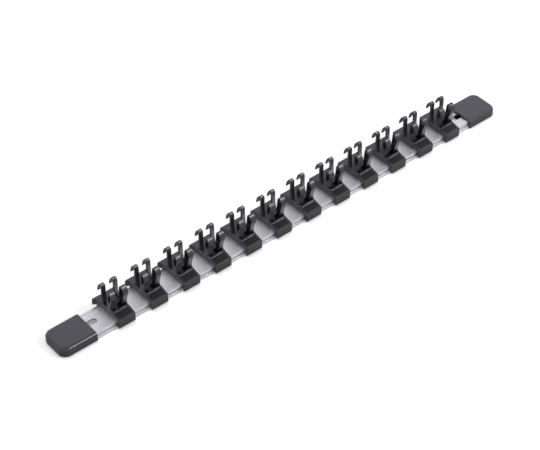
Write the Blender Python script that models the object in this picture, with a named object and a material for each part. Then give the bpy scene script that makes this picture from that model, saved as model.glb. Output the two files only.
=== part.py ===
"""Socket rail: an aluminium rail with two end caps and twelve sliding socket clips.

Lengths are in metres and +Z is up. The rail runs along X and the clips' foot pads face -Y.
X = 0 is the middle of the rail, Y = 0 its centre line, and Z = 0 the underside of the end
caps, on which the part rests.
"""
import math

import bmesh
import bpy
from mathutils import Vector

MM = 0.001

# Fits
clearance = 0.3 * MM
cut_overrun = 2.0 * MM

# Rail, an extruded section with a channel below
rail_length = 400.0 * MM
rail_width = 20.6 * MM
rail_height = 5.0 * MM
flange_proud = 1.1 * MM
flange_thickness = 1.4 * MM
groove_height = 1.2 * MM
groove_depth = 1.4 * MM
channel_width = 14.0 * MM
plate_thickness = 2.0 * MM
recess_width = 12.8 * MM
recess_depth = 0.3 * MM

# Screw slots, one near each end of the rail
slot_width = 5.2 * MM
slot_length = 15.0 * MM
slot_inset = 30.8 * MM
slot_end_steps = 8

# End caps
cap_floor = 0.6 * MM
cap_roof = 1.25 * MM
cap_wall = 1.1 * MM
cap_end_wall = 5.6 * MM
cap_cover = 22.8 * MM
cap_corner_radius = 6.5 * MM
cap_corner_steps = 6
cap_edge_radius = 3.0 * MM
cap_edge_steps = 4

# Row of clips along the rail
clip_count = 12
left_margin = 13.5 * MM
right_margin = 9.1 * MM
heel_gap = 6.6 * MM

# Clip base, which straddles the rail
base_thickness = 4.8 * MM
skirt_wall = 1.9 * MM
pad_width = 13.9 * MM
pad_length = 8.6 * MM
pad_front_drop = 2.9 * MM
pad_back_drop = 0.9 * MM
pad_border = 1.5 * MM
pad_recess = 0.25 * MM
step_run = 0.3 * MM
wing_length = 8.8 * MM
shoulder_width = 16.8 * MM
heel_length = 2.2 * MM
heel_chamfer = 0.5 * MM
corner_chamfer = 0.8 * MM
pit_width = 11.8 * MM
pit_length = 4.2 * MM
pit_depth = 3.0 * MM

# Post of four prongs on the clip, two hooks behind and two bows with an eye in front
post_height = 16.8 * MM
post_setback = 1.9 * MM
prong_spacing = 10.0 * MM
root_depth = 0.5 * MM
hook_width = 3.3 * MM
hook_inner = 3.3 * MM
hook_stem = 1.5 * MM
hook_reach = 9.4 * MM
hook_drop = 8.4 * MM
hook_flare = 1.1 * MM
hook_flare_height = 6.0 * MM
bow_width = 4.4 * MM
bow_reach = 8.5 * MM

# Head of a hook, as shares of hook_reach outward and of hook_drop down from the ridge
hook_head_shares = (
    (0.35, 0.26), (0.39, 0.08), (0.49, 0.00), (0.62, 0.03), (0.77, 0.20), (0.89, 0.42),
    (0.98, 0.72), (0.99, 1.00), (0.91, 0.90), (0.83, 0.72), (0.70, 0.50), (0.57, 0.40),
    (0.51, 0.52),
)

# Outline of a bow and of its eye, as shares of bow_reach outward and of post_height down
bow_head_shares = (
    (0.39, 0.20), (0.43, 0.10), (0.51, 0.02), (0.60, 0.00), (0.71, 0.02), (0.83, 0.08),
    (0.93, 0.16), (1.00, 0.28), (0.99, 0.38), (0.90, 0.53), (0.80, 0.67), (0.73, 0.82),
)
bow_root_shares = (0.26, 0.70)
bow_eye_shares = (
    (0.53, 0.20), (0.52, 0.35), (0.50, 0.50), (0.56, 0.57), (0.66, 0.54), (0.76, 0.45),
    (0.84, 0.33), (0.83, 0.23), (0.75, 0.14), (0.62, 0.12),
)

# Heights, widths and places that follow from the sizes above
flange_width = rail_width + 2 * flange_proud
rail_bottom = cap_floor + clearance
flange_top = rail_bottom + flange_thickness
block_bottom = flange_top + groove_height
rail_top = rail_bottom + rail_height
sleeve_top = rail_top + clearance
cap_top = sleeve_top + cap_roof
cap_half_width = flange_width / 2 + clearance + cap_wall
base_bottom = sleeve_top
base_top = base_bottom + base_thickness
pit_floor = base_top - pit_depth
ridge_height = base_top + post_height
clip_reach = flange_width / 2 + clearance + skirt_wall
row_start = cap_cover + left_margin - rail_length / 2
row_end = rail_length / 2 - cap_cover - right_margin
clip_pitch = (row_end - row_start + heel_gap) / clip_count
heel_width = clip_pitch - heel_gap


def clear_scene():
    for item in list(bpy.data.objects):
        bpy.data.objects.remove(item, do_unlink=True)


def make_material(name, colour, roughness, metallic):
    material = bpy.data.materials.new(name)
    material.use_nodes = True
    shader = material.node_tree.nodes["Principled BSDF"]
    shader.inputs["Base Color"].default_value = (*colour, 1.0)
    shader.inputs["Roughness"].default_value = roughness
    shader.inputs["Metallic"].default_value = metallic
    return material


def add_object(name, mesh, material=None):
    item = bpy.data.objects.new(name, mesh)
    if material is not None and not mesh.materials:
        mesh.materials.append(material)
    bpy.context.scene.collection.objects.link(item)
    return item


def prism(name, outline, axis, low, high, material=None):
    """Object whose outline, in the plane across the axis, runs from low to high along it."""
    place = {
        "X": lambda a, b: Vector((low, a, b)),
        "Y": lambda a, b: Vector((a, low, b)),
        "Z": lambda a, b: Vector((a, b, low)),
    }[axis]
    along = {"X": Vector((1, 0, 0)), "Y": Vector((0, 1, 0)), "Z": Vector((0, 0, 1))}[axis]
    bm = bmesh.new()
    face = bm.faces.new([bm.verts.new(place(a, b)) for a, b in outline])
    grown = bmesh.ops.extrude_face_region(bm, geom=[face])
    moved = [v for v in grown["geom"] if isinstance(v, bmesh.types.BMVert)]
    bmesh.ops.translate(bm, vec=along * (high - low), verts=moved)
    bmesh.ops.recalc_face_normals(bm, faces=bm.faces)
    mesh = bpy.data.meshes.new(name)
    bm.to_mesh(mesh)
    bm.free()
    return add_object(name, mesh, material)


def combine(target, tool, operation):
    """Boolean of the target with a tool that stays in the file as a hidden guide."""
    modifier = target.modifiers.new(tool.name, "BOOLEAN")
    modifier.operation = operation
    modifier.solver = "EXACT"
    modifier.object = tool
    tool.hide_render = True
    tool.display_type = "WIRE"


def mirrored(half):
    """Closed outline from the points of its +a half, given in order."""
    return [*half, *[(-a, b) for a, b in reversed(half)]]


def arc(centre, radius, start, end, steps):
    """Points along an arc, with its angles in turns."""
    angles = [2 * math.pi * (start + (end - start) * i / steps) for i in range(steps + 1)]
    return [(centre[0] + radius * math.cos(t), centre[1] + radius * math.sin(t)) for t in angles]


def sleeve_side():
    """Hollow that fits round the rail's +Y side with the clearance, from bottom to top."""
    flange = flange_width / 2 + clearance
    waist = rail_width / 2 - groove_depth + clearance
    block = rail_width / 2 + clearance
    return [
        (flange, flange_top + clearance),
        (waist, flange_top + clearance),
        (waist, block_bottom - clearance),
        (block, block_bottom - clearance),
        (block, sleeve_top),
    ]


def build_rail(material):
    channel_top = rail_top - plate_thickness
    recess_floor = rail_top - recess_depth
    section = mirrored([
        (channel_width / 2, channel_top),
        (channel_width / 2, rail_bottom),
        (flange_width / 2, rail_bottom),
        (flange_width / 2, flange_top),
        (rail_width / 2 - groove_depth, flange_top),
        (rail_width / 2 - groove_depth, block_bottom),
        (rail_width / 2, block_bottom),
        (rail_width / 2, rail_top),
        (recess_width / 2, rail_top),
        (recess_width / 2, recess_floor),
    ])
    rail = prism("rail", section, "X", -rail_length / 2, rail_length / 2, material)
    reach = rail_length / 2 - slot_inset + slot_width / 2
    run = slot_length - slot_width
    for side, label in ((-1, "left"), (1, "right")):
        inner = arc((side * reach, 0), slot_width / 2, 0.25, 0.25 + side * 0.5, slot_end_steps)
        outer = arc((side * (reach + run), 0), slot_width / 2, -0.25, side * 0.5 - 0.25,
                    slot_end_steps)
        cutter = prism(f"slot_cut_{label}", [*inner, *outer], "Z",
                       channel_top - cut_overrun, rail_top + cut_overrun)
        combine(rail, cutter, "DIFFERENCE")


def build_end_cap(name, side, material):
    mouth = side * (rail_length / 2 - cap_cover)
    end = side * (rail_length / 2 + clearance + cap_end_wall)
    centre = end - side * cap_corner_radius
    turn = 0.0 if side > 0 else 0.5
    corner = arc((centre, cap_half_width - cap_corner_radius), cap_corner_radius,
                 0.25, turn, cap_corner_steps)
    outline = [(mouth, cap_half_width), *corner]
    outline += [(x, -y) for x, y in reversed(outline)]
    cap = prism(name, outline, "Z", 0, cap_top, material)
    round_rim(cap.data, mouth)
    pocket_side = [(flange_width / 2 + clearance, cap_floor), *sleeve_side()]
    pocket = prism(f"{name}_pocket", mirrored(pocket_side), "X",
                   side * (rail_length / 2 + clearance), mouth - side * cut_overrun)
    combine(cap, pocket, "DIFFERENCE")


def round_rim(mesh, mouth):
    """Rounds the cap's top and bottom edges, all but those at its square mouth."""
    bm = bmesh.new()
    bm.from_mesh(mesh)
    rim = [
        edge for edge in bm.edges
        if abs(edge.verts[0].co.z - edge.verts[1].co.z) < clearance
        and edge.verts[0].co.z > cap_floor
        and max(abs(v.co.x - mouth) for v in edge.verts) > clearance
    ]
    bmesh.ops.bevel(bm, geom=rim, offset=cap_edge_radius, offset_type="OFFSET",
                    segments=cap_edge_steps, profile=0.5, affect="EDGES")
    bm.to_mesh(mesh)
    bm.free()


def base_plan():
    """Outline of the clip base from above: straight foot and waist, flare, and wide heel."""
    return mirrored([
        (pad_width / 2 - corner_chamfer, -clip_reach),
        (pad_width / 2, corner_chamfer - clip_reach),
        (pad_width / 2, clip_reach - wing_length),
        (shoulder_width / 2, clip_reach - heel_length),
        (heel_width / 2, clip_reach - corner_chamfer),
        (heel_width / 2 - corner_chamfer, clip_reach),
    ])


def base_section():
    """Outline of the clip base across the rail, with its beads in the rail's grooves."""
    inner = [(flange_width / 2 + clearance, rail_bottom), *sleeve_side()]
    step = pad_length - clip_reach
    return [
        (-clip_reach, rail_bottom),
        *[(-y, z) for y, z in inner],
        *reversed(inner),
        (clip_reach, rail_bottom),
        (clip_reach, base_top - heel_chamfer),
        (clip_reach - heel_chamfer, base_top),
        (step + step_run, base_top),
        (step, base_top - pad_back_drop),
        (-clip_reach, base_top - pad_front_drop),
    ]


def pad_panel():
    """Outline of the shallow panel sunk into the sloping foot pad."""
    front = pad_border - clip_reach
    back = pad_length - pad_border - clip_reach
    slope = (pad_front_drop - pad_back_drop) / pad_length
    floor = base_top - pad_front_drop - pad_recess
    return [
        (front, floor + slope * pad_border),
        (back, floor + slope * (pad_length - pad_border)),
        (back, base_top + cut_overrun),
        (front, base_top + cut_overrun),
    ]


def pit():
    """Outline of the pit between the foot pad and the bows, in which the bows are rooted."""
    front = pad_length - clip_reach
    back = front + pit_length
    top = base_top + cut_overrun
    return [(front, pit_floor), (back, pit_floor), (back, top), (front, top)]


def head_points(shares, reach, drop):
    """Points of a prong's side view from a table of shares, outward and down from the ridge."""
    return [(reach * out, ridge_height - drop * down) for out, down in shares]


def hook_outline():
    """Side view of a hook, outward from the post's centre, with its root in the base."""
    return [
        (hook_inner - hook_flare, base_top - root_depth),
        (hook_inner - hook_flare, base_top),
        (hook_inner, base_top + hook_flare_height),
        *head_points(hook_head_shares, hook_reach, hook_drop),
        (hook_inner + hook_stem, base_top - root_depth),
    ]


def bow_outline():
    """Side view of a bow, outward from the post's centre, with its root in the pit's floor."""
    back, front = [bow_reach * share for share in bow_root_shares]
    return [
        (back, pit_floor - root_depth),
        (back, base_top),
        *head_points(bow_head_shares, bow_reach, post_height),
        (front, base_top),
        (front, pit_floor - root_depth),
    ]


def build_clip_mesh():
    """Mesh of one clip, joined from its base, two hooks behind and two bows in front."""
    base = prism("clip_base", base_section(), "X", -heel_width, heel_width)
    plan = prism("clip_plan", base_plan(), "Z", -cut_overrun, base_top + cut_overrun)
    panel_half = pad_width / 2 - pad_border
    panel = prism("pad_panel", pad_panel(), "X", -panel_half, panel_half)
    pit_cut = prism("pit_cut", pit(), "X", -pit_width / 2, pit_width / 2)
    combine(base, plan, "INTERSECT")
    combine(base, panel, "DIFFERENCE")
    combine(base, pit_cut, "DIFFERENCE")
    guides = [base, plan, panel, pit_cut]
    hook = [(post_setback + out, height) for out, height in hook_outline()]
    bow = [(post_setback - out, height) for out, height in bow_outline()]
    for side, label in ((-1, "left"), (1, "right")):
        under_wing = [
            (side * pad_width / 2, -cut_overrun),
            (side * heel_width, -cut_overrun),
            (side * heel_width, base_bottom),
            (side * pad_width / 2, base_bottom),
        ]
        wing_cut = prism(f"wing_cut_{label}", under_wing, "Y",
                         -clip_reach - cut_overrun, clip_reach + cut_overrun)
        combine(base, wing_cut, "DIFFERENCE")
        guides.append(wing_cut)
        centre = side * prong_spacing / 2
        for kind, outline, width in (("hook", hook, hook_width), ("bow", bow, bow_width)):
            prong = prism(f"{kind}_{label}", outline, "X", centre - width / 2, centre + width / 2)
            combine(base, prong, "UNION")
            guides.append(prong)
    eye = [(post_setback - out, height)
           for out, height in head_points(bow_eye_shares, bow_reach, post_height)]
    eye_cut = prism("eye_cut", eye, "X", -heel_width / 2, heel_width / 2)
    combine(base, eye_cut, "DIFFERENCE")
    guides.append(eye_cut)
    depsgraph = bpy.context.evaluated_depsgraph_get()
    mesh = bpy.data.meshes.new_from_object(base.evaluated_get(depsgraph))
    mesh.name = "socket_clip"
    for guide in guides:
        bpy.data.objects.remove(guide, do_unlink=True)
    return mesh


def build_clips(material):
    mesh = build_clip_mesh()
    mesh.materials.clear()
    mesh.materials.append(material)
    first = row_start + heel_width / 2
    for number in range(clip_count):
        clip = add_object(f"socket_clip_{number + 1:02d}", mesh)
        clip.location.x = first + clip_pitch * number


def build():
    clear_scene()
    aluminium = make_material("satin_aluminium", (0.72, 0.73, 0.76), 0.35, 1.0)
    cap_plastic = make_material("cap_plastic", (0.025, 0.025, 0.03), 0.35, 0.0)
    clip_plastic = make_material("clip_plastic", (0.05, 0.05, 0.055), 0.5, 0.0)
    build_rail(aluminium)
    build_end_cap("end_cap_left", -1, cap_plastic)
    build_end_cap("end_cap_right", 1, cap_plastic)
    build_clips(clip_plastic)


build()
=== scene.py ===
# %% [markdown]
# # Socket rail
# A socket rail is a strip of extruded aluminium with a moulded cap on each end and a row of
# plastic clips that slide along it. Each clip holds one wrench socket by its square drive hole.
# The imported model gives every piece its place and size, and this lesson models each piece again
# with the rounded edges, hollows and surface finish of the real one.

# %% Load the frame
import math

import bmesh
import bpy
from mathutils import Matrix, Vector


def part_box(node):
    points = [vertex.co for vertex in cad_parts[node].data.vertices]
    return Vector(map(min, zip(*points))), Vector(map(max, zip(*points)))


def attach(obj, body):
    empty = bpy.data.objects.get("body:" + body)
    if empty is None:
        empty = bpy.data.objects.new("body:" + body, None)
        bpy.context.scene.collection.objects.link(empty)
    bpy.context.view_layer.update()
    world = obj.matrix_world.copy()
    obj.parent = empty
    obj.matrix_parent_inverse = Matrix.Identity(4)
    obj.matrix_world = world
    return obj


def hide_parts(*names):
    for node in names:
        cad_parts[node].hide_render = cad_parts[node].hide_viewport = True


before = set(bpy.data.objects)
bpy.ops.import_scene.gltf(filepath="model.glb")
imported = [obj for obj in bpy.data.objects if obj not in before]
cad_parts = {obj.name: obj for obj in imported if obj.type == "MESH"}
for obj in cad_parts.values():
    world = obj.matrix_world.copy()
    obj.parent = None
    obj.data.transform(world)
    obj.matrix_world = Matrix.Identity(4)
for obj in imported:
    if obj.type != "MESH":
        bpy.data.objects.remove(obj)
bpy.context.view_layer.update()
bpy.ops.object.select_all(action="DESELECT")

# %% [markdown]
# ## Sizes
# Every length is written in millimetres, as on a drawing, and turned to metres by one factor.
# The heights and widths of the rail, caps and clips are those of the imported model, so that each
# new piece fills the place of the one it stands for. X runs along the rail, and Z is up.

# %% Name the sizes
MM = 0.001
rail_low, rail_high = [corner.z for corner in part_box("rail")]
rail_left, rail_right = [corner.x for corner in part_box("rail")]
flange_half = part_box("rail")[1].y
block_half = flange_half - 1.1 * MM
web_half = block_half - 1.4 * MM
flange_top = rail_low + 1.4 * MM
block_low = flange_top + 1.2 * MM
slot_end = 30.8 * MM
slot_length = 15.0 * MM
slot_radius = 2.6 * MM
# Play between pieces that slide or plug together, and how near a point counts as being there
fit = 0.3 * MM
near = 0.02 * MM
print("rail: %.1f mm long" % ((rail_right - rail_left) / MM))

# %% [markdown]
# ## Helpers for edit mode
# With no window there is no mouse, so the parts of a mesh are picked by where they are. One
# function picks faces, edges or points that pass a test, and the mesh operators then work on
# what is picked, as they would by hand.


# %% Pick parts of a mesh by their place
def pick(piece, kind, test):
    """Selects in edit mode the faces, edges or verts of the piece that pass the test."""
    bpy.ops.mesh.select_mode(type={"faces": "FACE", "edges": "EDGE", "verts": "VERT"}[kind])
    bpy.ops.mesh.select_all(action="DESELECT")
    mesh = bmesh.from_edit_mesh(piece.data)
    for part in getattr(mesh, kind):
        if test(part):
            part.select_set(True)
    mesh.select_flush_mode()
    bmesh.update_edit_mesh(piece.data)


def split(axis, *places):
    """Cuts the whole mesh across an axis at each place, and keeps both sides."""
    normal = [float(letter == axis) for letter in "XYZ"]
    for place in places:
        bpy.ops.mesh.select_all(action="SELECT")
        bpy.ops.mesh.bisect(plane_co=[place * share for share in normal], plane_no=normal)


def add_box(name, low, high):
    """Cube primitive from its lowest to its highest corner, with its size in its mesh."""
    low, high = Vector(low), Vector(high)
    bpy.ops.object.select_all(action="DESELECT")
    bpy.ops.mesh.primitive_cube_add(size=1, location=(low + high) / 2, scale=high - low)
    piece = bpy.context.active_object
    piece.name = name
    bpy.ops.object.transform_apply(location=True, rotation=True, scale=True)
    return piece


# %% [markdown]
# ## Helpers for whole pieces
# A cut leaves doubled points behind, and a bevel is held back by the shortest edge of its mesh.
# So a piece is cleaned before its edges are rounded. Weighted normals then keep the flat faces
# between the rounded edges looking flat.


# %% Cut, clean and round a piece
def make_active(piece):
    """Selects one piece alone and makes it the active one."""
    bpy.ops.object.select_all(action="DESELECT")
    piece.select_set(True)
    bpy.context.view_layer.objects.active = piece


def use_modifier(piece, kind, **settings):
    """Adds a modifier with its settings and applies it at once."""
    make_active(piece)
    modifier = piece.modifiers.new(kind.title(), kind)
    for key, value in settings.items():
        setattr(modifier, key, value)
    bpy.ops.object.modifier_apply(modifier=modifier.name)


def carve(piece, tool, operation="DIFFERENCE"):
    """Cuts a tool out of a piece, or joins it on, and deletes the tool."""
    use_modifier(piece, "BOOLEAN", operation=operation, solver="EXACT", object=tool)
    bpy.data.objects.remove(tool, do_unlink=True)


def clean(piece):
    """Merges the doubled points that cuts leave behind, and the flat faces they divide."""
    flat_angle = math.radians(0.5)
    make_active(piece)
    bpy.ops.object.mode_set(mode="EDIT")
    bpy.ops.mesh.select_all(action="SELECT")
    bpy.ops.mesh.remove_doubles(threshold=near)
    bpy.ops.mesh.dissolve_limited(angle_limit=flat_angle)
    bpy.ops.mesh.select_all(action="SELECT")
    bpy.ops.mesh.normals_make_consistent(inside=False)
    bpy.ops.object.mode_set(mode="OBJECT")


def round_edges(piece, width, segments):
    """Cleans a piece and rounds its sharp edges by a small bevel."""
    sharp_angle = math.radians(38)
    clean(piece)
    use_modifier(piece, "BEVEL", width=width, segments=segments, limit_method="ANGLE",
                 angle_limit=sharp_angle)


def shade_smooth(piece, degrees):
    """Shades a piece smooth where its faces meet at less than this angle."""
    make_active(piece)
    bpy.ops.object.shade_smooth_by_angle(angle=math.radians(degrees))
    use_modifier(piece, "WEIGHTED_NORMAL", keep_sharp=True)
    print(piece.name, len(piece.data.polygons), "faces")


# %% [markdown]
# ## The extruded rail
# The rail is one extrusion, so it has the same section from end to end. The section starts as a
# flat plane across the rail, is cut into cells along the lines of its grooves, channel and
# recess, and loses the empty cells. What is left is pulled out to the rail's length in one move.
# A few lines a fraction of a millimetre deep are left by the die along the top.

# %% Draw the section of the rail
channel_half = 7.0 * MM
channel_top = rail_high - 2.0 * MM
recess_half = 6.4 * MM
recess_floor = rail_high - 0.3 * MM
line_places = (7.6 * MM, 9.0 * MM)
line_width = 0.3 * MM
line_floor = rail_high - 0.15 * MM

bpy.ops.mesh.primitive_plane_add(size=1, location=(rail_left, 0, (rail_low + rail_high) / 2),
                                 rotation=(0, math.pi / 2, 0))
rail = bpy.context.active_object
rail.name = "satin_rail"
rail.scale = (rail_high - rail_low, 2 * flange_half, 1)
bpy.ops.object.transform_apply(location=True, rotation=True, scale=True)
bpy.ops.object.mode_set(mode="EDIT")
line_edges = [place + side * line_width / 2 for place in line_places for side in (-1, 1)]
split("Y", -block_half, block_half, -web_half, web_half, -channel_half, channel_half,
      -recess_half, recess_half, *line_edges)
split("Z", flange_top, block_low, channel_top, recess_floor, line_floor)


def is_empty(face):
    """Whether a cell of the section lies outside the metal."""
    middle = face.calc_center_median()
    side = abs(middle.y)
    beside_block = side > block_half and middle.z > flange_top
    in_groove = side > web_half and flange_top < middle.z < block_low
    in_channel = side < channel_half and middle.z < channel_top
    in_recess = side < recess_half and middle.z > recess_floor
    in_line = middle.z > line_floor and any(
        abs(middle.y - place) < line_width / 2 for place in line_places)
    return beside_block or in_groove or in_channel or in_recess or in_line


pick(rail, "faces", is_empty)
bpy.ops.mesh.delete(type="FACE")
bpy.ops.mesh.select_all(action="SELECT")
bpy.ops.mesh.dissolve_limited(angle_limit=math.radians(1))
print("section faces:", len(bmesh.from_edit_mesh(rail.data).faces))

# %% Pull the section out to the rail's length
bpy.ops.mesh.select_all(action="SELECT")
bpy.ops.mesh.extrude_region_move(
    TRANSFORM_OT_translate={"value": (rail_right - rail_left, 0, 0)})
bpy.ops.mesh.select_all(action="SELECT")
bpy.ops.mesh.normals_make_consistent(inside=False)
bpy.ops.object.mode_set(mode="OBJECT")
print("extruded rail:", len(rail.data.polygons), "faces")

# %% [markdown]
# ## The screw slots
# Each end of the rail has a long slot for the screw that holds it down. A slot is punched with a
# round-ended tool, so the cutter here is a cylinder whose one half is moved along the rail.

# %% Punch a slot at each end
slot_run = slot_length - 2 * slot_radius
for side in (-1, 1):
    start = side * (rail_right - slot_end + slot_radius)
    bpy.ops.mesh.primitive_cylinder_add(vertices=48, radius=slot_radius, depth=6 * rail_high,
                                        location=(start, 0, 0))
    punch = bpy.context.active_object
    bpy.ops.object.transform_apply(location=True, rotation=True, scale=True)
    bpy.ops.object.mode_set(mode="EDIT")
    pick(punch, "verts", lambda v: side * (v.co.x - start) > near)
    bpy.ops.transform.translate(value=(side * slot_run, 0, 0))
    bpy.ops.object.mode_set(mode="OBJECT")
    carve(rail, punch)

# A wider bevel would be held back by the walls of the die lines, which are 0.15 mm deep
rail_edge = 0.07 * MM
round_edges(rail, rail_edge, 2)
shade_smooth(rail, 35)

# %% [markdown]
# ## The end caps
# An end cap is a moulded box open at one end, with two generous corners in plan and soft rims.
# It starts as a cube. The upright edges at its closed end are bevelled first, then the whole top
# rim and the whole bottom rim, so that the rounding runs cleanly round the corners. The pocket
# for the rail is cut out last, in two steps: a wide low one for the flange and a narrower one
# above it.

# %% Shape the caps
cap_corner = 6.5 * MM
cap_rim = 3.0 * MM
cap_foot = 1.0 * MM
cap_floor = 0.6 * MM
cap_edge = 0.15 * MM
corner_segments, rim_segments = 14, 8
caps = []
for name, side in (("end_cap_left", -1), ("end_cap_right", 1)):
    low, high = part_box(name)
    cap = add_box("moulded_" + name, low, high)
    mouth = low.x if side > 0 else high.x
    closed = high.x if side > 0 else low.x
    bpy.ops.object.mode_set(mode="EDIT")
    pick(cap, "edges", lambda e: all(abs(v.co.x - closed) < near for v in e.verts)
         and abs(e.verts[0].co.y - e.verts[1].co.y) < near)
    bpy.ops.mesh.bevel(offset=cap_corner, segments=corner_segments, affect="EDGES")
    for level, radius in ((high.z, cap_rim), (low.z, cap_foot)):
        pick(cap, "edges", lambda e: all(abs(v.co.z - level) < near for v in e.verts)
             and not all(abs(v.co.x - mouth) < near for v in e.verts))
        bpy.ops.mesh.bevel(offset=radius, segments=rim_segments, affect="EDGES")
    bpy.ops.object.mode_set(mode="OBJECT")
    inner_end = rail_right + fit if side > 0 else rail_left - fit
    past_mouth = mouth - side * 5 * MM
    for half_width, top in ((flange_half + fit, flange_top + fit),
                            (block_half + fit, rail_high + fit)):
        pocket = add_box("pocket",
                         (min(inner_end, past_mouth), -half_width, low.z + cap_floor),
                         (max(inner_end, past_mouth), half_width, top))
        carve(cap, pocket)
    round_edges(cap, cap_edge, 2)
    shade_smooth(cap, 40)
    caps.append(cap)

# %% [markdown]
# ## The base of a clip
# A clip is one moulding. Its base lies across the rail and grips it with a skirt front and back.
# It starts as a cube of the waist's width, which is cut across at each place where the real base
# changes shape. The heel's points are then scaled outward to make the wings, and the points of
# the foot pad are moved down to make its slope.

# %% Shape the base of the first clip
first_low, first_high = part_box("socket_clip_01")
reach = first_high.y
heel_half = (first_high.x - first_low.x) / 2
waist_half = 6.95 * MM
base_low = rail_high + fit
base_high = base_low + 4.8 * MM
pad_length = 8.6 * MM
pad_back = pad_length - reach
pad_front_drop, pad_back_drop = 2.9 * MM, 0.9 * MM
wing_start = reach - 8.8 * MM
shoulder_place = reach - 2.2 * MM
shoulder_half = 8.4 * MM
corner_cut = 0.8 * MM
heel_corner = reach - corner_cut
pad_step = 0.3 * MM

clip = add_box("moulded_clip_01", (-waist_half, -reach, base_low), (waist_half, reach, base_high))
bpy.ops.object.mode_set(mode="EDIT")
split("Y", pad_back, pad_back + pad_step, wing_start, shoulder_place, heel_corner)
for place, half in ((shoulder_place, shoulder_half), (heel_corner, heel_half),
                    (reach, heel_half - corner_cut)):
    pick(clip, "verts", lambda v: abs(v.co.y - place) < near)
    bpy.ops.transform.resize(value=(half / waist_half, 1, 1), center_override=(0, 0, 0))
for place, drop in ((-reach, pad_front_drop), (pad_back, pad_back_drop)):
    pick(clip, "verts", lambda v: abs(v.co.y - place) < near and v.co.z > base_high - near)
    bpy.ops.transform.translate(value=(0, 0, -drop))

# %% Sink the label panel into the foot pad
panel_border = 1.4 * MM
panel_edge = 0.15 * MM
panel_depth = 0.15 * MM
pick(clip, "faces", lambda f: f.normal.z > 0.5 and f.calc_center_median().y < pad_back)
bpy.ops.mesh.inset(thickness=panel_border)
bpy.ops.mesh.inset(thickness=panel_edge)
bpy.ops.transform.translate(value=(0, 0, -panel_depth))
bpy.ops.object.mode_set(mode="OBJECT")
print("base:", len(clip.data.polygons), "faces")

# %% [markdown]
# ## The skirts of a clip
# The skirts hang down over the rail's sides. Each is pulled down from the underside of the base
# in three stages: to the top of its bead, to the bead's foot, and outside the rail's flange to
# the rail's underside. The bead is then pulled inward from the second stage and reaches into the
# rail's side groove. The beads hold the clip on the rail and let it slide.

# %% Pull the skirts down and add their beads
bpy.ops.object.mode_set(mode="EDIT")
inner_flange = flange_half + fit
inner_block = block_half + fit
bead_reach = web_half + fit
bead_top = block_low - fit
bead_foot = flange_top + fit
split("Y", -inner_flange, -inner_block, inner_block, inner_flange)
split("X", -waist_half, waist_half)
stages = ((base_low, bead_top, inner_block), (bead_top, bead_foot, inner_block),
          (bead_foot, rail_low, inner_flange))
for from_z, to_z, inner_y in stages:
    pick(clip, "faces", lambda f: f.normal.z < -0.5
         and abs(f.calc_center_median().x) < waist_half
         and abs(f.calc_center_median().y) > inner_y
         and abs(f.calc_center_median().z - from_z) < near)
    bpy.ops.mesh.extrude_region_move(TRANSFORM_OT_translate={"value": (0, 0, to_z - from_z)})
for side in (-1, 1):
    pick(clip, "faces", lambda f: f.normal.y * side < -0.5
         and abs(f.calc_center_median().y - side * inner_block) < near
         and bead_foot < f.calc_center_median().z < bead_top)
    bpy.ops.mesh.extrude_region_move(
        TRANSFORM_OT_translate={"value": (0, side * (bead_reach - inner_block), 0)})
bpy.ops.object.mode_set(mode="OBJECT")
print("base and skirts:", len(clip.data.polygons), "faces")

# %% [markdown]
# ## The hooks and bows
# Four sprung prongs stand on the base: two hooks behind, whose beaks catch inside a socket, and
# two bows in front with an eye that lets them give. Each prong has one outline from the side, so
# it is grown as a flat strip. The strip's end edge is extruded from one pair of points to the
# next, the strip is then given its width, and its edges are rounded before it joins the base.

# %% Write down the outlines of the prongs
prong_half_gap = 5.0 * MM
hook_width = 3.3 * MM
bow_width = 4.4 * MM
# The eye of a bow is an oval with these half axes, middle in Y and Z, and lean
eye_half_depth, eye_half_height = 1.3 * MM, 3.8 * MM
eye_y, eye_z = -3.8 * MM, 21.8 * MM
eye_lean = math.radians(5)
# Pairs of inner and outer points of a hook, as (y, z) in millimetres, from its root to its tip
hook_pairs = (
    ((4.1, 10.4), (6.7, 10.4)), ((4.1, 11.0), (6.7, 11.0)), ((4.75, 14.2), (6.7, 14.2)),
    ((5.2, 17.0), (6.7, 17.0)), ((5.2, 23.2), (6.7, 23.2)), ((5.2, 25.6), (7.0, 24.2)),
    ((5.6, 27.0), (7.3, 24.4)), ((6.5, 27.7), (7.8, 24.3)), ((7.7, 27.45), (8.4, 23.8)),
    ((9.1, 26.1), (9.0, 22.9)), ((10.25, 24.3), (9.6, 22.0)), ((11.0, 22.1), (10.2, 20.8)),
    ((11.2, 20.3), (10.7, 19.9)), ((11.2, 19.5), (10.8, 19.3)),
)
# Pairs of back and front points of a bow, from its root in the pit to its rounded top
bow_pairs = (
    ((-0.3, 7.5), (-4.05, 7.5)), ((-0.3, 11.0), (-4.05, 11.0)), ((-0.45, 14.0), (-4.3, 14.0)),
    ((-0.65, 16.5), (-4.9, 16.5)), ((-0.85, 18.9), (-5.75, 18.9)), ((-1.1, 21.4), (-6.5, 21.4)),
    ((-1.3, 23.1), (-6.6, 23.1)), ((-1.5, 25.1), (-6.0, 25.1)), ((-1.85, 26.3), (-5.3, 26.3)),
    ((-2.6, 27.25), (-4.2, 27.25)),
)
print("pairs of points:", len(hook_pairs), "in a hook and", len(bow_pairs), "in a bow")


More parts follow.
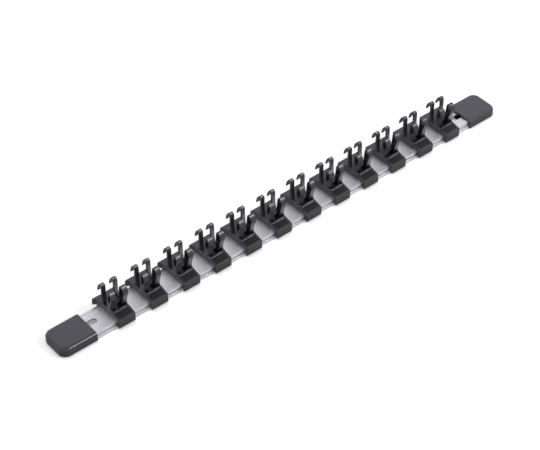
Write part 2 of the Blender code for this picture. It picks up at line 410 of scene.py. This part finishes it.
# %% Grow the prongs
def grow_prong(name, pairs, centre, width):
    """Strip grown pair by pair in the YZ plane, then pulled out sideways to its width."""
    pairs = [[Vector((0, y * MM, z * MM)) for y, z in pair] for pair in pairs]
    left = Vector((centre - width / 2, 0, 0))
    bpy.ops.object.select_all(action="DESELECT")
    bpy.ops.mesh.primitive_plane_add(size=1, location=left)
    prong = bpy.context.active_object
    prong.name = name
    bpy.ops.object.transform_apply(location=True, rotation=True, scale=True)
    bpy.ops.object.mode_set(mode="EDIT")
    for index, corner in enumerate(pairs[0] + pairs[1]):
        pick(prong, "verts", lambda v: v.index == index)
        verts = bmesh.from_edit_mesh(prong.data).verts
        verts.ensure_lookup_table()
        bpy.ops.transform.translate(value=corner + left - verts[index].co)
    for before, after in zip(pairs[1:], pairs[2:]):
        pick(prong, "edges", lambda e: all(
            min((v.co - end - left).length for end in before) < near for v in e.verts))
        bpy.ops.mesh.extrude_region_move(
            TRANSFORM_OT_translate={"value": after[0] - before[0]})
        moved = before[1] + after[0] - before[0] + left
        pick(prong, "verts", lambda v: (v.co - moved).length < near)
        bpy.ops.transform.translate(value=after[1] + left - moved)
    bpy.ops.mesh.select_all(action="SELECT")
    bpy.ops.mesh.extrude_region_move(TRANSFORM_OT_translate={"value": (width, 0, 0)})
    bpy.ops.mesh.select_all(action="SELECT")
    bpy.ops.mesh.normals_make_consistent(inside=False)
    bpy.ops.object.mode_set(mode="OBJECT")
    return prong


# %% Cut the pit and join the prongs to the base
pit_half = 5.9 * MM
pit_depth = 3.0 * MM
pit_length = 4.2 * MM
base_edge, prong_edge = 0.28 * MM, 0.25 * MM
pit = add_box("pit", (-pit_half, pad_back, base_high - pit_depth),
              (pit_half, pad_back + pit_length, base_high + pit_depth))
carve(clip, pit)
round_edges(clip, base_edge, 3)
for side in (-1, 1):
    centre = side * prong_half_gap
    hook = grow_prong("hook", hook_pairs, centre, hook_width)
    round_edges(hook, prong_edge, 3)
    carve(clip, hook, "UNION")
    bow = grow_prong("bow", bow_pairs, centre, bow_width)
    bpy.ops.mesh.primitive_cylinder_add(vertices=28, radius=1, depth=2 * bow_width,
                                        rotation=(0, math.pi / 2, 0))
    eye = bpy.context.active_object
    bpy.ops.object.transform_apply(location=True, rotation=True, scale=True)
    eye.scale = (1, eye_half_depth, eye_half_height)
    bpy.ops.object.transform_apply(location=True, rotation=True, scale=True)
    eye.rotation_euler = (eye_lean, 0, 0)
    eye.location = (centre, eye_y, eye_z)
    bpy.ops.object.transform_apply(location=True, rotation=True, scale=True)
    carve(bow, eye)
    round_edges(bow, prong_edge, 3)
    carve(clip, bow, "UNION")
clean(clip)
shade_smooth(clip, 40)

# %% [markdown]
# ## The row of clips
# All twelve clips come from one mould, so the first is copied to the place of each of the
# others. Every copy gets its own mesh, moved along the rail inside the mesh, because a finished
# piece keeps its object at the origin.

# %% Copy the clip along the rail
clips = []
for number in range(1, 13):
    low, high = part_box("socket_clip_%02d" % number)
    copy = clip.copy()
    copy.data = clip.data.copy()
    copy.name = "clip_moulding_%02d" % number
    copy.data.name = copy.name
    copy.data.transform(Matrix.Translation(((low.x + high.x) / 2, 0, 0)))
    bpy.context.scene.collection.objects.link(copy)
    clips.append(copy)
bpy.data.objects.remove(clip, do_unlink=True)
print("clips:", len(clips))

# %% [markdown]
# ## Finishes
# Colours are written as the hex values that a screen shows, and one function turns them to the
# linear values that Blender works with. One more function adds a node with its settings and
# links, so that each finish reads as a short list.


# %% Helpers for materials
def linear(hex_colour):
    """Linear colour of an sRGB hex value."""
    shares = [int(hex_colour[i:i + 2], 16) / 255 for i in (1, 3, 5)]
    return [s / 12.92 if s <= 0.04045 else ((s + 0.055) / 1.055) ** 2.4 for s in shares] + [1.0]


def add_node(tree, kind, settings=(), links=()):
    """Adds a node, sets its sockets or properties, and links its inputs."""
    node = tree.nodes.new(kind)
    for key, value in dict(settings).items():
        if key in node.inputs:
            node.inputs[key].default_value = value
        else:
            setattr(node, key, value)
    for key, source in dict(links).items():
        tree.links.new(source, node.inputs[key])
    return node


def new_material(name, **shader_settings):
    """Material with its Principled shader set, ready for the nodes of its pattern."""
    material = bpy.data.materials.new(name)
    material.use_nodes = True
    shader = material.node_tree.nodes["Principled BSDF"]
    for key, value in shader_settings.items():
        shader.inputs[key.replace("_", " ")].default_value = value
    return material, material.node_tree, shader


# %% [markdown]
# ## Satin aluminium
# The rail is extruded aluminium with a satin finish. The die leaves fine lines along its length,
# so its gloss is streaky. The pattern is noise that is stretched sixty times along X. Its lines
# are drawn 0.5 mm apart, which is coarser than the real ones, because those are too fine to show.

# %% Make the satin aluminium
line_spacing = 0.5 * MM
stretch = 1 / 60
aluminium, tree, shader = new_material("satin_extruded_aluminium", Metallic=1.0)
place = add_node(tree, "ShaderNodeTexCoord")
along = add_node(tree, "ShaderNodeMapping", {"Scale": (stretch, 1, 1)},
                 {"Vector": place.outputs["Object"]})
lines = add_node(tree, "ShaderNodeTexNoise",
                 {"Scale": 1 / line_spacing, "Detail": 3.0, "Roughness": 0.6},
                 {"Vector": along.outputs["Vector"]})
tone = add_node(tree, "ShaderNodeValToRGB", {}, {"Fac": lines.outputs["Fac"]})
tone.color_ramp.elements[0].position = 0.3
tone.color_ramp.elements[0].color = linear("#DFDFE5")
tone.color_ramp.elements[1].position = 0.7
tone.color_ramp.elements[1].color = linear("#E7E7ED")
gloss = add_node(tree, "ShaderNodeMapRange", {"To Min": 0.5, "To Max": 0.56},
                 {"Value": lines.outputs["Fac"]})
relief = add_node(tree, "ShaderNodeBump", {"Strength": 0.02, "Distance": 0.03 * MM},
                  {"Height": lines.outputs["Fac"]})
tree.links.new(tone.outputs["Color"], shader.inputs["Base Color"])
tree.links.new(gloss.outputs["Result"], shader.inputs["Roughness"])
tree.links.new(relief.outputs["Normal"], shader.inputs["Normal"])
print(aluminium.name, len(tree.nodes), "nodes")

# %% [markdown]
# ## Moulded plastics
# The caps are semi-gloss black ABS from a polished mould, whose skin is smooth but never quite
# flat. The clips are charcoal nylon from a finely spark-eroded mould, so they are matt with a
# grain. The label panel has a coarser grain that catches less light. All three are noise on the
# object's own place, and differ in grain size, colour, gloss and depth. Their gloss is tinted a
# faint violet, as the photographed plastics are. The caps' grain is drawn at 1.2 mm, and the
# panel's at 0.8 mm, which is coarser than the real ones, so that they show.


# %% Make the plastics
def moulded_plastic(name, dark, pale, ior, grain, depth, gloss_low, gloss_high, strength):
    """Plastic whose colour, roughness and relief follow one noise of the given grain size."""
    material, tree, shader = new_material(name, IOR=ior, Specular_Tint=(0.96, 0.93, 1.0, 1.0))
    place = add_node(tree, "ShaderNodeTexCoord")
    skin = add_node(tree, "ShaderNodeTexNoise",
                    {"Scale": 1 / grain, "Detail": 4.0, "Roughness": 0.6},
                    {"Vector": place.outputs["Object"]})
    tone = add_node(tree, "ShaderNodeValToRGB", {}, {"Fac": skin.outputs["Fac"]})
    tone.color_ramp.elements[0].position = 0.3
    tone.color_ramp.elements[0].color = linear(dark)
    tone.color_ramp.elements[1].position = 0.7
    tone.color_ramp.elements[1].color = linear(pale)
    gloss = add_node(tree, "ShaderNodeMapRange", {"To Min": gloss_low, "To Max": gloss_high},
                     {"Value": skin.outputs["Fac"]})
    relief = add_node(tree, "ShaderNodeBump", {"Strength": strength, "Distance": depth},
                      {"Height": skin.outputs["Fac"]})
    tree.links.new(tone.outputs["Color"], shader.inputs["Base Color"])
    tree.links.new(gloss.outputs["Result"], shader.inputs["Roughness"])
    tree.links.new(relief.outputs["Normal"], shader.inputs["Normal"])
    print(material.name, len(tree.nodes), "nodes")
    return material


cap_abs = moulded_plastic(
    "semi_gloss_black_abs", dark="#414047", pale="#48474F", ior=1.5, grain=1.2 * MM,
    depth=0.02 * MM, gloss_low=0.09, gloss_high=0.14, strength=0.05)
clip_nylon = moulded_plastic(
    "charcoal_nylon", dark="#0E0C10", pale="#161419", ior=1.75, grain=0.35 * MM,
    depth=0.03 * MM, gloss_low=0.26, gloss_high=0.36, strength=0.2)
panel_nylon = moulded_plastic(
    "coarse_grained_nylon", dark="#0E0D10", pale="#1A191D", ior=1.4, grain=0.8 * MM,
    depth=0.12 * MM, gloss_low=0.4, gloss_high=0.5, strength=0.8)

# %% [markdown]
# ## Dressing the pieces
# The rail and the caps have one material each. A clip has two, and its label panel is found as
# the faces that lie on the sunk and sloping plane of the foot pad.

# %% Dress the pieces
panel_low = base_high - pad_front_drop - panel_depth
slope = (pad_front_drop - pad_back_drop) / pad_length
for piece, material in [(rail, aluminium)] + [(cap, cap_abs) for cap in caps]:
    piece.data.materials.clear()
    piece.data.materials.append(material)
for piece in clips:
    piece.data.materials.clear()
    piece.data.materials.append(clip_nylon)
    piece.data.materials.append(panel_nylon)
    for face in piece.data.polygons:
        lift = face.center.z - panel_low - slope * (face.center.y + reach)
        on_panel = abs(lift) < panel_depth / 2 and -reach < face.center.y < pad_back
        if on_panel and face.normal.z > 0.9:
            face.material_index = 1
print("panel faces:", sum(face.material_index for face in clips[0].data.polygons))

# %% [markdown]
# ## Fasten the pieces to the frame
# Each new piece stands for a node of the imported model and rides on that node's body, so the
# caps stay with the rail and every clip slides by itself.

# %% Tie each piece to its body
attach(rail, "rail_body")
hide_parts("rail")
for cap, node in zip(caps, ("end_cap_left", "end_cap_right")):
    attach(cap, "rail_body")
    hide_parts(node)
for number, piece in enumerate(clips, 1):
    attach(piece, "socket_clip_%02d" % number)
    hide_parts("socket_clip_%02d" % number)
print("tied:", 1 + len(caps) + len(clips), "pieces")

# %% [markdown]
# ## Stage
# The rail lies on a plain pale floor. Light Path tells the rays apart: the camera sees the floor
# as white, mirror and transmission rays see it half-way to white, and the light that it throws
# back on the object is that of grey paper. So the background is white with no more light on the
# object. The floor's glow for the camera rises away from the rail, where the lamps reach less, so
# that it stays white as far as the horizon.

# %% Lay the floor
bpy.ops.object.select_all(action="DESELECT")
bpy.ops.mesh.primitive_plane_add(size=6, location=(0, 0, 0))
floor = bpy.context.active_object
floor.name = "studio_floor"
mirror_share = 0.5
near_glow, far_glow = 0.27, 0.85
fade_start, fade_end = 0.4, 1.6
paper, tree, shader = new_material("pale_paper", Roughness=0.9)
rays = add_node(tree, "ShaderNodeLightPath")
mirrored = add_node(tree, "ShaderNodeMath", {"operation": "MAXIMUM"},
                    {0: rays.outputs["Is Glossy Ray"], 1: rays.outputs["Is Transmission Ray"]})
share = add_node(tree, "ShaderNodeMath", {"operation": "MULTIPLY"},
                 {0: mirrored.outputs["Value"]})
share.inputs[1].default_value = mirror_share
seen = add_node(tree, "ShaderNodeMapRange", {"To Max": 1.0},
                {"Value": rays.outputs["Is Camera Ray"], "To Min": share.outputs["Value"]})
tone = add_node(tree, "ShaderNodeValToRGB", {}, {"Fac": seen.outputs["Result"]})
tone.color_ramp.elements[0].color = linear("#A8A8A8")
tone.color_ramp.elements[1].color = linear("#FFFFFF")
place = add_node(tree, "ShaderNodeTexCoord")
away = add_node(tree, "ShaderNodeVectorMath", {"operation": "LENGTH"},
                {0: place.outputs["Object"]})
fade = add_node(tree, "ShaderNodeMapRange",
                {"interpolation_type": "SMOOTHSTEP", "From Min": fade_start,
                 "From Max": fade_end, "To Min": near_glow, "To Max": far_glow},
                {"Value": away.outputs["Value"]})
glow = add_node(tree, "ShaderNodeMath", {"operation": "MULTIPLY"},
                {0: rays.outputs["Is Camera Ray"], 1: fade.outputs["Result"]})
tree.links.new(tone.outputs["Color"], shader.inputs["Base Color"])
tree.links.new(glow.outputs["Value"], shader.inputs["Emission Strength"])
shader.inputs["Emission Color"].default_value = (1, 1, 1, 1)
floor.data.materials.append(paper)
print(floor.name, "with", len(tree.nodes), "nodes")

# %% [markdown]
# ## World
# The camera sees the world as white too. Mirror rays see a white tent with a darker opening
# overhead, which gives the sloping label panels their dark look. All other rays get a faint
# light from every side, which fills the shadows.

# %% Set the world
fill_strength = 0.22
opening = {"From Min": 0.8, "From Max": 0.95, "To Min": 1.0, "To Max": 0.3}
world = bpy.data.worlds.new("studio_world")
bpy.context.scene.world = world
world.use_nodes = True
tree = world.node_tree
backdrop = tree.nodes["Background"]
backdrop.inputs["Color"].default_value = (1, 1, 1, 1)
rays = add_node(tree, "ShaderNodeLightPath")
heading = add_node(tree, "ShaderNodeTexCoord")
height = add_node(tree, "ShaderNodeSeparateXYZ", {}, {"Vector": heading.outputs["Generated"]})
tent = add_node(tree, "ShaderNodeMapRange",
                {"interpolation_type": "SMOOTHSTEP", **opening}, {"Value": height.outputs["Z"]})
to_gloss = add_node(tree, "ShaderNodeMapRange", {"To Min": fill_strength},
                    {"Value": rays.outputs["Is Glossy Ray"], "To Max": tent.outputs["Result"]})
straight = add_node(tree, "ShaderNodeMath", {"operation": "MAXIMUM"})
tree.links.new(rays.outputs["Is Camera Ray"], straight.inputs[0])
tree.links.new(rays.outputs["Is Transmission Ray"], straight.inputs[1])
level = add_node(tree, "ShaderNodeMapRange", {"To Max": 1.0},
                 {"Value": straight.outputs["Value"], "To Min": to_gloss.outputs["Result"]})
tree.links.new(level.outputs["Result"], backdrop.inputs["Strength"])
print(world.name, "with", len(tree.nodes), "nodes")

# %% [markdown]
# ## Lamps
# One wide soft lamp hangs overhead, a little behind the rail. Mirror rays don't see it, so that
# no bright disk lies on the rail's flat top. A smaller lamp to the right in front draws the
# highlights on the rounded tops of the bows. A third one is seen by mirror rays alone and draws
# the bright line along the left cap's rim. Places and sizes are in metres, and energy in watts.


# %% Hang the lamps
def add_lamp(name, place, aim, size, energy):
    """Round area lamp that looks from its place at its aim."""
    light = bpy.data.lights.new(name, "AREA")
    light.shape = "DISK"
    light.size = size
    light.energy = energy
    lamp = bpy.data.objects.new(name, light)
    lamp.location = place
    lamp.rotation_euler = (Vector(aim) - Vector(place)).to_track_quat("-Z", "Y").to_euler()
    bpy.context.scene.collection.objects.link(lamp)
    return lamp


middle = (0, 0, 0)
left_cap = (-0.19, 0, 0)
overhead = add_lamp("overhead", place=(0.0, 0.3, 1.4), aim=middle, size=1.2, energy=11)
overhead.visible_glossy = False
add_lamp("rim", place=(0.75, -0.75, 1.0), aim=middle, size=0.4, energy=6.5)
glint = add_lamp("glint", place=(0.28, -0.85, 0.86), aim=left_cap, size=0.45, energy=4)
glint.visible_diffuse = False
bpy.context.scene.view_settings.view_transform = "Standard"

# %% [markdown]
# ## Camera
# The camera looks down on the rail from the left in front, from about 1.2 m with a long lens,
# so the rail runs up the picture from one corner to the other with little perspective.

# %% Set the camera
# The focal length and the target's place in the picture are in pixels of the photo
image_width, image_height = 540, 450
focal = 1700.0
azimuth, elevation, distance = math.radians(-39.64), math.radians(42.82), 1.2174
target = Vector((-42.6 * MM, 10.0 * MM, 25.5 * MM))
target_pixel = (231, 211)
back = Vector((math.sin(azimuth) * math.cos(elevation),
               -math.cos(azimuth) * math.cos(elevation), math.sin(elevation)))
right = Vector((0, 0, 1)).cross(back).normalized()
up = back.cross(right)
aside = (target_pixel[0] - image_width / 2) / focal * distance
above = (image_height / 2 - target_pixel[1]) / focal * distance
camera = bpy.data.cameras.new("photo_camera")
camera.sensor_width = 36  # in millimetres
camera.lens = focal / image_width * camera.sensor_width
viewer = bpy.data.objects.new("photo_camera", camera)
viewer.matrix_world = (Matrix.Translation(target - right * aside - up * above + back * distance)
                       @ Matrix((right, up, back)).transposed().to_4x4())
bpy.context.scene.collection.objects.link(viewer)
bpy.context.scene.camera = viewer
print("lens: %.1f mm" % camera.lens)
